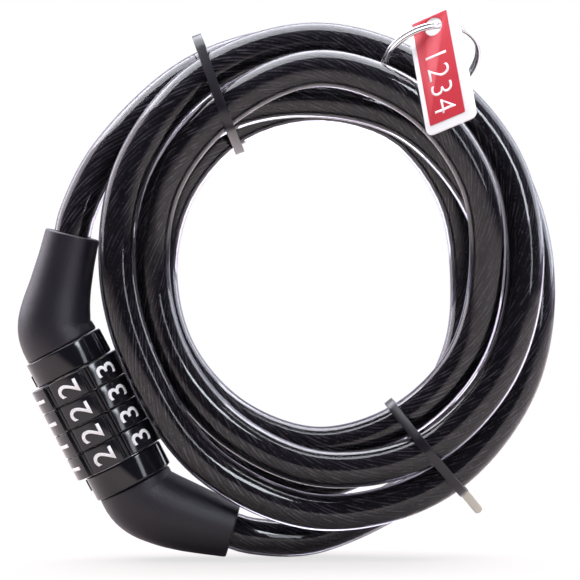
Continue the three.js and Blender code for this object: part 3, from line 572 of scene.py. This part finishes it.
def tube_tree():
    """Geometry Nodes: a twisted, lobed tube along the object's own curve."""
    tree = bpy.data.node_groups.new("twisted_tube", "GeometryNodeTree")
    face = tree.interface
    face.new_socket("Geometry", in_out="INPUT", socket_type="NodeSocketGeometry")
    for name, value in (
        ("Radius", 0.006), ("Strands", 1.0), ("Strand Depth", 0.0),
        ("Wires Per Strand", 1.0), ("Wire Depth", 0.0), ("Turns Per Metre", 0.0),
    ):
        socket = face.new_socket(name, in_out="INPUT", socket_type="NodeSocketFloat")
        socket.default_value = value
    sides = face.new_socket("Sides", in_out="INPUT", socket_type="NodeSocketInt")
    sides.default_value = 32
    face.new_socket("Finish", in_out="INPUT", socket_type="NodeSocketMaterial")
    face.new_socket("Geometry", in_out="OUTPUT", socket_type="NodeSocketGeometry")

    def add(kind, links=None, out=0, **settings):
        return grow(tree, kind, links, **settings)[out]

    def maths(op, a, b=0.0):
        return add("ShaderNodeMath", {0: a, 1: b}, operation=op)

    def store(geometry, name, value):
        return add(
            "GeometryNodeStoreNamedAttribute",
            {"Geometry": geometry, "Name": name, "Value": value},
            data_type="FLOAT", domain="POINT",
        )

    given = tree.nodes.new("NodeGroupInput").outputs
    along = add("GeometryNodeSplineParameter", out=1)
    turned = maths("MULTIPLY", along, given["Turns Per Metre"])
    twist = maths("MULTIPLY", turned, 2 * math.pi)
    tilted = add("GeometryNodeSetCurveTilt", {"Curve": given["Geometry"], "Tilt": twist})
    path = store(tilted, "metres", along)
    # the outline round the path: lobes for the strands, smaller ones for their wires
    ring = add(
        "GeometryNodeCurvePrimitiveCircle",
        {"Resolution": given["Sides"], "Radius": given["Radius"]},
    )
    around = add("GeometryNodeSplineParameter", out=0)
    strands_so_far = maths("MULTIPLY", around, given["Strands"])
    phase = maths("MULTIPLY", strands_so_far, math.pi)
    strand = maths("ABSOLUTE", maths("SINE", phase))
    wire_phase = maths("MULTIPLY", phase, given["Wires Per Strand"])
    wire = maths("ABSOLUTE", maths("SINE", wire_phase))
    dip = maths("MULTIPLY", given["Strand Depth"], maths("SUBTRACT", 1.0, strand))
    notch = maths("MULTIPLY", given["Wire Depth"], maths("SUBTRACT", 1.0, wire))
    size = maths("SUBTRACT", maths("SUBTRACT", 1.0, dip), notch)
    spot = add("GeometryNodeInputPosition")
    scaled = add("ShaderNodeVectorMath", {0: spot, "Scale": size}, operation="SCALE")
    marked = store(ring, "crest", maths("MULTIPLY", strand, wire))
    count = maths("MULTIPLY", strands_so_far, given["Wires Per Strand"])
    numbered = store(marked, "wire", count)
    outline = add("GeometryNodeSetPosition", {"Geometry": numbered, "Position": scaled})
    body = add(
        "GeometryNodeCurveToMesh",
        {"Curve": path, "Profile Curve": outline, "Fill Caps": True},
    )
    smooth = add("GeometryNodeSetShadeSmooth", {"Geometry": body, "Shade Smooth": True})
    solid = add("GeometryNodeRealizeInstances", {"Geometry": smooth})
    done = add("GeometryNodeSetMaterial", {"Geometry": solid, "Material": given["Finish"]})
    tree.links.new(done, tree.nodes.new("NodeGroupOutput").inputs[0])
    return tree


TUBE = tube_tree()


def tube(name, xyz, material, radius, sides, strands=1, depth=0.0, wires=1, notch=0.0, turns=0.0):
    obj = spine(name + "_spine", xyz)
    mod = obj.modifiers.new("tube", "NODES")
    mod.node_group = TUBE
    ids = {i.name: i.identifier for i in TUBE.interface.items_tree if i.in_out == "INPUT"}
    for key, value in (
        ("Radius", radius * 0.001), ("Strands", float(strands)), ("Strand Depth", depth),
        ("Wires Per Strand", float(wires)), ("Wire Depth", notch),
        ("Turns Per Metre", turns), ("Sides", sides), ("Finish", material),
    ):
        mod[ids[key]] = value
    made = settle(obj, 60)
    made.name = name
    made.data.name = name
    bm = bmesh.new()
    bm.from_mesh(made.data)
    bmesh.ops.recalc_face_normals(bm, faces=bm.faces)
    bm.to_mesh(made.data)
    bm.free()
    return made


def twisted(name, xyz):
    return tube(
        name, xyz, ROPE, ROPE_R + ROPE_PROUD, ROPE_STRANDS * WIRES_SEEN * SIDES_PER_WIRE,
        ROPE_STRANDS, STRAND_DEPTH, WIRES_SEEN, WIRE_DEPTH, 1000 / ROPE_LAY,
    )


main_path = stretch(SPLIT + SPLIT_GAP, CABLE_LEN - SHEATH_IN)
sheath = tube("sheath_coil", main_path, SHEATH, SHEATH_R, SHEATH_SIDES)
rope = twisted("rope_coil", stretch(SPLIT + SPLIT_GAP, CABLE_LEN - ROPE_IN))
lead_path = stretch(SHEATH_IN, SPLIT - SPLIT_GAP)
sheath_lead = tube("sheath_lead", lead_path, SHEATH, SHEATH_R, SHEATH_SIDES)
rope_lead = twisted("rope_lead", stretch(ROPE_IN, SPLIT - SPLIT_GAP))
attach(sheath, "coil")
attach(rope, "coil")
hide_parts("cable_sheath")
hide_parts("cable_rope")
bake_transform(sheath_lead)
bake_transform(rope_lead)
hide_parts("cable_sheath_lead")
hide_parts("cable_rope_lead")


# ------------------------------------------------------------ boots
def swelling(outer, length):
    """the boot's radius at a distance from its mouth, eased through the listed radii"""
    table = sorted([*outer, (length - BOOT_END_FLAT, BOOT_END_R), (length, BOOT_END_R)])
    xs = [a for a, _ in table]
    rs = [r for _, r in table]

    def radius(a):
        total = weights = 0.0
        for k in range(-SWELL_REACH, SWELL_REACH + 1):
            weight = math.exp(-(k / SWELL_WIDTH) ** 2)
            at = min(max(a + k * SWELL_STEP, 0), length)
            total += weight * float(np.interp(at, xs, rs))
            weights += weight
        return total / weights

    return radius


def boot_profile(outer, length):
    """the boot's section: lip, rounded mouth, swelling side, rounded end, cavity"""
    radius = swelling(outer, length)
    profile = [
        (BOOT_LIP_R, 5.0), (BOOT_LIP_R, 0.9),
        (BOOT_LIP_R + 0.35, 0.25), (BOOT_LIP_R + 0.9, 0.0),
    ]
    turns = [90 * k / BOOT_EDGE_STEPS for k in range(BOOT_EDGE_STEPS + 1)]
    inset = BOOT_EDGE
    mouth_r = radius(0)
    for a in turns:
        profile.append((mouth_r - inset + inset * sin_deg(a), inset - inset * cos_deg(a)))
    for k in range(1, BOOT_STEPS):
        a = inset + (length - 2 * inset) * k / BOOT_STEPS
        profile.append((radius(a), a))
    for a in turns:
        profile.append(
            (BOOT_END_R - inset + inset * cos_deg(a), length - inset + inset * sin_deg(a))
        )
    return profile + [
        (BOOT_CAVITY_R, length), (BOOT_CAVITY_R, length * 0.6), (BOOT_LIP_R + 0.8, 9.0),
    ]


def boot(name, node, points, outer, body):
    xyz, s = catmull(points)
    length = s[-1]
    tangents = np.gradient(xyz, s, axis=0)

    def put(r, deg, a):
        at = length - a
        c = np.array([np.interp(at, s, xyz[:, k]) for k in range(3)])
        t = np.array([np.interp(at, s, tangents[:, k]) for k in range(3)])
        t /= np.linalg.norm(t)
        side = np.array([0.0, 1.0, 0.0])
        across = np.cross(t, side)
        return place(Vector(c + across * r * cos_deg(deg) + side * r * sin_deg(deg)))

    obj = revolved(name, boot_profile(outer, length), BOOT_SIDES, put, BOOT)
    sharpen(obj, 50)
    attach(obj, body)
    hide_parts(node)


boot("boot_plug_side", "boot_upper", upper_points, UPPER_PROFILE, "plug")
boot("boot_socket_side", "boot_lower", lower_points, LOWER_PROFILE, "coil")


# ------------------------------------------------------------ collars
def index_rib(name, at):
    """the short raised bar that the code is lined up with"""
    bm = bmesh.new()
    bmesh.ops.create_cube(bm, size=1)
    for v in bm.verts:
        x, y, z = v.co
        v.co = on_lock(
            COLLAR_R + INDEX_PROUD * 2 * z, INDEX_DEG + x * INDEX_SPREAD, at + y * INDEX_LONG
        )
    mesh = bpy.data.meshes.new(name)
    bmesh.ops.recalc_face_normals(bm, faces=bm.faces)
    bm.to_mesh(mesh)
    bm.free()
    mesh.materials.append(BLACK)
    return beveled(linked(name, mesh), INDEX_EDGE)


def collar(name, node, lower, body):
    far = COLLAR_LEN - SEAT
    inner = [(8.1, far), (8.1, 5.3), (4.6, 5.3), (4.6, SEAT)]
    if lower:
        # a rebate for the retaining clip, and a deeper socket
        rebate = far - 0.9
        inner = [(11.8, far), (11.8, rebate), (7.8, rebate), (7.8, 3.7), (4.6, 3.7), (4.6, SEAT)]
    outline = rounded([(COLLAR_R, SEAT), (COLLAR_R, far), *inner], COLLAR_ROUND, 5)
    rib_at = far - INDEX_INSET - INDEX_LONG / 2
    if lower:
        outline = [(r, LOCK_LEN - s) for r, s in outline]
        rib_at = LOCK_LEN - rib_at
    obj = revolved(name, outline, COLLAR_SIDES, on_lock, BLACK)
    sharpen(obj, 40)
    for piece in (obj, index_rib(name + "_index", rib_at)):
        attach(piece, body)
    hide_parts(node)


collar("collar_plug_side", "collar_upper", False, "plug")
collar("collar_socket_side", "collar_lower", True, "coil")


# ------------------------------------------------------------ dials
def dial_radius(deg):
    """the outside of a dial: seven pads with grooves between, finely ribbed inside"""
    half = PAD_PITCH / 2
    a = abs((deg - PAD_FIRST + half) % PAD_PITCH - half)
    if a <= PAD_HALF - PAD_EASE_IN:
        return DIAL_R
    if a <= PAD_HALF + PAD_EASE_OUT:
        t = (a - PAD_HALF + PAD_EASE_IN) / (PAD_EASE_IN + PAD_EASE_OUT)
        return DIAL_R - PAD_EASE_DROP * t * t
    t = min(1.0, (a - PAD_HALF - PAD_EASE_OUT) / GROOVE_WALL)
    floor = GROOVE_DEPTH - RIB_TALL * abs(math.cos(math.pi * (half - a) / RIB_PITCH))
    return DIAL_R - PAD_EASE_DROP - (floor - PAD_EASE_DROP) * t


def dial(index):
    start = DIALS_START + index * DIAL_PITCH
    turns = [90 * k / RIM_STEPS for k in range(RIM_STEPS + 1)]
    rim = [(RIM_R - RIM_R * sin_deg(a), RIM_R - RIM_R * cos_deg(a)) for a in turns]
    rings = rim + [(inset, DIAL_W - s) for inset, s in reversed(rim)]
    spans = (
        np.arange(0, FINE_SPAN, FINE_STEP),
        np.arange(FINE_SPAN, PAD_PITCH - FINE_SPAN, PAD_STEP),
        np.arange(PAD_PITCH - FINE_SPAN, PAD_PITCH - 0.01, FINE_STEP),
    )
    verts = []
    count = 0
    for k in range(DIAL_PADS):
        centre = PAD_FIRST + k * PAD_PITCH
        for deg in (centre - PAD_PITCH / 2 + x for span in spans for x in span):
            outer = dial_radius(deg)
            verts.append(on_lock(DIAL_BORE, deg, start))
            verts.extend(on_lock(outer - inset, deg, start + s) for inset, s in rings)
            verts.append(on_lock(DIAL_BORE, deg, start + DIAL_W))
            count += 1
    faces = wrapped(count, len(rings) + 2)
    obj = new_mesh(f"number_dial_{index + 1}", verts, faces, DIAL_BLACK)
    sharpen(obj, 40)
    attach(obj, f"dial_{index + 1}")
    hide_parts(f"dial_{index + 1}")


def glyph(text, tall, bold):
    """one figure as a flat mesh, centred, in millimetres, cut into narrow bands"""
    curve = bpy.data.curves.new("figure", "FONT")
    curve.body = text
    curve.size = 1.0
    curve.offset = bold
    curve.resolution_u = 6
    obj = linked("figure", curve)
    depsgraph = bpy.context.evaluated_depsgraph_get()
    mesh = bpy.data.meshes.new_from_object(obj.evaluated_get(depsgraph), depsgraph=depsgraph)
    bpy.data.objects.remove(obj)
    bm = bmesh.new()
    bm.from_mesh(mesh)
    bpy.data.meshes.remove(mesh)
    bmesh.ops.remove_doubles(bm, verts=bm.verts, dist=1e-5)
    co = np.array([v.co for v in bm.verts])
    low, high = co.min(0), co.max(0)
    scale = tall / (high[1] - low[1])
    for v in bm.verts:
        v.co.x = (v.co.x - (low[0] + high[0]) / 2) * scale
        v.co.y = (v.co.y - (low[1] + high[1]) / 2) * scale
    for k in range(1, FIGURE_BANDS):
        y = -tall / 2 + tall * k / FIGURE_BANDS
        bmesh.ops.bisect_plane(
            bm, geom=everything(bm), plane_co=(0, y, 0), plane_no=(0, 1, 0), dist=1e-5
        )
    return bm


def printed(text, tall, bold, put):
    """one figure as a thin solid; put(x, y, top) gives the place of each point"""
    bm = glyph(text, tall, bold)
    thick = bmesh.ops.extrude_face_region(bm, geom=bm.faces[:])
    top = {v for v in thick["geom"] if isinstance(v, bmesh.types.BMVert)}
    for v in bm.verts:
        v.co = put(v.co.x, v.co.y, v in top)
    bmesh.ops.recalc_face_normals(bm, faces=bm.faces)
    return bm


def figures(name, parts, body):
    """several printed figures as one piece"""
    joined = bmesh.new()
    for bm in parts:
        part = bpy.data.meshes.new("part")
        bm.to_mesh(part)
        bm.free()
        joined.from_mesh(part)
        bpy.data.meshes.remove(part)
    mesh = bpy.data.meshes.new(name)
    joined.to_mesh(mesh)
    joined.free()
    mesh.materials.append(DIGIT_WHITE)
    obj = linked(name, mesh)
    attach(obj, body)


def pad_figure(index, pad):
    """the pad's number, wrapped round the pad"""
    number = (pad + 1) % DIAL_PADS + 1
    centre = PAD_FIRST + pad * PAD_PITCH
    middle = DIALS_START + index * DIAL_PITCH + DIAL_W / 2

    def put(x, y, top):
        r = DIAL_R + (DIGIT_PROUD if top else -DIGIT_SUNK)
        return on_lock(r, centre - math.degrees(y / DIAL_R), middle - x)

    return printed(str(number), DIGIT_TALL, DIGIT_BOLD, put)


for i in range(DIAL_COUNT):
    dial(i)
    pads = [pad_figure(i, pad) for pad in range(DIAL_PADS)]
    figures(f"dial_numbers_{i + 1}", pads, f"dial_{i + 1}")


# ------------------------------------------------------------ ties
def tie(node, name, spec):
    """the strap with its edges eased; where it has a tail, that ends pale and round, and the
    tail's start keeps the black strap finish as painted shade
    """
    radial = Vector((-cos_deg(spec["deg"]), 0, sin_deg(spec["deg"])))
    side = radial.cross(Vector((0, 1, 0)))
    outward = radial * cos_deg(spec["slant"]) + side * sin_deg(spec["slant"])
    base = Vector((COIL_X, 0, COIL_Z)) + radial * spec["cross"] - outward * spec["cross"]
    cut_at = place(base + outward * (spec["tail"] or 0))

    def past(point):
        return (point - cut_at).dot(outward)

    def round_tail(bm):
        furthest = max(past(v.co) for v in bm.verts)
        ends = [
            e for e in bm.edges
            if all(past(v.co) > furthest - 0.001 for v in e.verts)
            and abs((e.verts[0].co - e.verts[1].co).normalized().y) > 0.9
        ]
        bmesh.ops.bevel(
            bm, geom=ends, offset=TAIL_ROUND * 0.001, segments=TAIL_ROUND_STEPS,
            profile=0.5, affect="EDGES",
        )
        bmesh.ops.bisect_plane(
            bm, geom=everything(bm), plane_co=cut_at, plane_no=outward, dist=1e-7
        )

    # painted shade: tail faces short of the cut keep the black strap finish where a shadow falls
    # on the cream tail; only faces past the cut are cream
    def pale(face):
        return 1 if past(face.calc_center_median()) > 0 else 0

    tailed = (round_tail, pale) if spec["tail"] else (None, None)
    obj = refined(node, name, (NYLON, CREAM), TIE_EDGE, 3, *tailed)
    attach(obj, "coil")
    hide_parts(node)


tie("zip_tie_upper", "tie_upper", TIE_UPPER)
tie("zip_tie_lower", "tie_lower", TIE_LOWER)


# ------------------------------------------------------------ split ring
def ring_path():
    """two turns of wire that climb past each other, with both ends at the bottom"""
    across = Vector((cos_deg(RING_YAW), sin_deg(RING_YAW), 0))
    up = Vector((0, -sin_deg(RING_TILT), cos_deg(RING_TILT)))
    up = (up - across * up.dot(across)).normalized()
    normal = across.cross(up)
    points = []
    for k in range(RING_STEPS + 1):
        t = k / RING_STEPS
        a = RING_TURNS * 2 * math.pi * t - math.pi / 2
        flat = across * RING_R * math.cos(a) + up * RING_R * math.sin(a)
        points.append(np.array(RING_CENTRE + flat + normal * RING_LIFT * 2 * (t - 0.5)))
    return np.array(points)


ring = tube("split_ring_wire", ring_path(), NICKEL, RING_WIRE_R, RING_SIDES)
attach(ring, "ring")
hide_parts("split_ring")

# ------------------------------------------------------------ tag
card = refined("tag_card", "code_tag_card", (WHITE_CARD,), TAG_EDGE, 3)
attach(card, "tag")
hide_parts("tag_card")
panel = refined("tag_label", "code_tag_panel", (RED_CARD,), PANEL_EDGE, 2)
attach(panel, "tag")
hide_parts("tag_label")

TAG_FRAME = (
    Matrix.Translation(place(TAG_HANG))
    @ Matrix.Rotation(math.radians(TAG_ROLL), 4, "Y")
    @ Matrix.Rotation(math.radians(90 + TAG_LEAN), 4, "X")
    @ Matrix.Rotation(math.radians(TAG_YAW), 4, "Y")
)


def code_figure(place_in_code, number):
    middle = -CODE_FROM - CODE_STEP * place_in_code

    def put(x, y, top):
        z = TAG_T / 2 + PANEL_PROUD + (CODE_PROUD if top else -CODE_SUNK)
        return TAG_FRAME @ (Vector((y + PANEL_SHIFT, middle - x, z)) * 0.001)

    return printed(number, CODE_TALL, CODE_BOLD, put)


figures("code_tag_numbers", [code_figure(k, number) for k, number in enumerate(CODE)], "tag")

# ------------------------------------------------------------ carried-over works
BRASS_NODES = (
    "ferrule_upper", "ferrule_lower", "tumbler_1", "tumbler_2", "tumbler_3", "tumbler_4",
)
STEEL_NODES = (
    "cross_pin_upper", "cross_pin_lower", "core_tube", "plug_pin", "retaining_clip",
    "wave_washer", "detent_leaf",
    "detent_ball_1", "detent_ball_2", "detent_ball_3", "detent_ball_4",
)
for material, nodes in ((BRASS, BRASS_NODES), (STEEL, STEEL_NODES)):
    for node in nodes:
        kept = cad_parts[node]
        kept.data.materials.clear()
        kept.data.materials.append(material)


# ------------------------------------------------------------ stage, in metres
FLOOR_HALF, FLOOR_DROP = 3.0, 0.0002


def floor():
    """a pale board near the coil that fades into plain white further off"""
    f = Finish("floor_white")
    f.set(Base_Color=(0.47, 0.415, 0.39, 1), Roughness=0.8, Specular_IOR_Level=0.2)
    rays = grow(f.tree, "ShaderNodeLightPath")
    straight = Sock(f, rays["Is Camera Ray"])
    through = Sock(f, rays["Is Transmission Ray"])
    seen = f.node("ShaderNodeEmission", {"Color": (1, 1, 1, 1), "Strength": 1.0})
    away = f.node("ShaderNodeVectorMath", {0: f.object_coords()}, out=1, operation="LENGTH")
    white = f.node("ShaderNodeMapRange", {
        "Value": away, "From Min": 0.06, "From Max": 0.22, "To Min": 0.70, "To Max": 1.0,
    })
    share = (straight + through).clamp() * white
    board = Sock(f, f.shader.outputs[0])
    blend = f.node("ShaderNodeMixShader", {0: share, 1: board, 2: seen})
    out = next(n for n in f.tree.nodes if n.type == "OUTPUT_MATERIAL")
    f.tree.links.new(blend.socket, out.inputs[0])
    corners = [
        (x * FLOOR_HALF, y * FLOOR_HALF, -FLOOR_DROP)
        for x, y in ((-1, -1), (1, -1), (1, 1), (-1, 1))
    ]
    new_mesh("studio_floor", corners, [(0, 1, 2, 3)], f.material, False, False)


def surroundings():
    """plain white where looked at; for reflections, bright behind and dim in front"""
    world = bpy.data.worlds.new("studio")
    scene.world = world
    world.use_nodes = True
    tree = world.node_tree
    rays = grow(tree, "ShaderNodeLightPath")
    looked_at = grow(
        tree, "ShaderNodeMath",
        {0: rays["Is Camera Ray"], 1: rays["Is Transmission Ray"]}, operation="MAXIMUM",
    )[0]
    towards = grow(tree, "ShaderNodeTexCoord")["Generated"]
    behind = grow(tree, "ShaderNodeSeparateXYZ", {0: towards})["Y"]
    room = grow(tree, "ShaderNodeMapRange", {
        "Value": behind, "From Min": -0.2, "From Max": 0.3, "To Min": 0.06, "To Max": 0.95,
    })[0]
    strength = grow(
        tree, "ShaderNodeMix", {0: looked_at, 2: room, 3: 1.0}, data_type="FLOAT"
    )[0]
    tint = grow(
        tree, "ShaderNodeMix",
        {0: looked_at, 6: (0.84, 0.78, 1.0, 1), 7: (1, 1, 1, 1)}, data_type="RGBA",
    )[2]
    background = tree.nodes["Background"]
    tree.links.new(tint, background.inputs["Color"])
    tree.links.new(strength, background.inputs["Strength"])


def facing(at, target):
    return (Vector(target) - Vector(at)).to_track_quat("-Z", "Y").to_euler()


def softbox(name, at, wide, tall, power, colour):
    lamp = bpy.data.lights.new(name, "AREA")
    lamp.shape = "RECTANGLE"
    lamp.size, lamp.size_y = wide, tall
    lamp.energy = power
    lamp.color = colour
    obj = linked(name, lamp)
    obj.location = at
    obj.rotation_euler = facing(at, (0, 0, 0.09))


floor()
surroundings()
softbox("overhead_softbox", (-0.02, 0.16, 0.80), 1.40, 0.90, 26.0, (0.92, 0.94, 1.0))
softbox("right_back_softbox", (0.80, 0.42, 0.56), 0.9, 0.9, 9.0, (0.86, 0.92, 1.0))
softbox("left_back_softbox", (-0.85, 0.36, 0.52), 0.9, 0.9, 8.0, (1.0, 0.94, 0.99))
softbox("right_front_low", (0.52, -0.66, 0.26), 0.14, 0.30, 0.70, (0.88, 0.92, 1.0))
softbox("right_front_high", (0.48, -0.68, 0.60), 0.20, 0.36, 3.6, (0.88, 0.92, 1.0))

# ------------------------------------------------------------ camera
SENSOR = 36
DISTANCE = 0.9
FIELD = 0.18792
LIFT = 2.0
AIM = place((0.16, 0.0, 88.1))
camera = bpy.data.cameras.new("front_camera")
camera.sensor_width = SENSOR
camera.lens = SENSOR * DISTANCE / FIELD
camera.clip_start = 0.01
eye = linked("front_camera", camera)
eye.location = AIM + Vector((0, -cos_deg(LIFT), sin_deg(LIFT))) * DISTANCE
eye.rotation_euler = facing(eye.location, AIM)
scene.camera = eye
scene.view_settings.view_transform = "Standard"
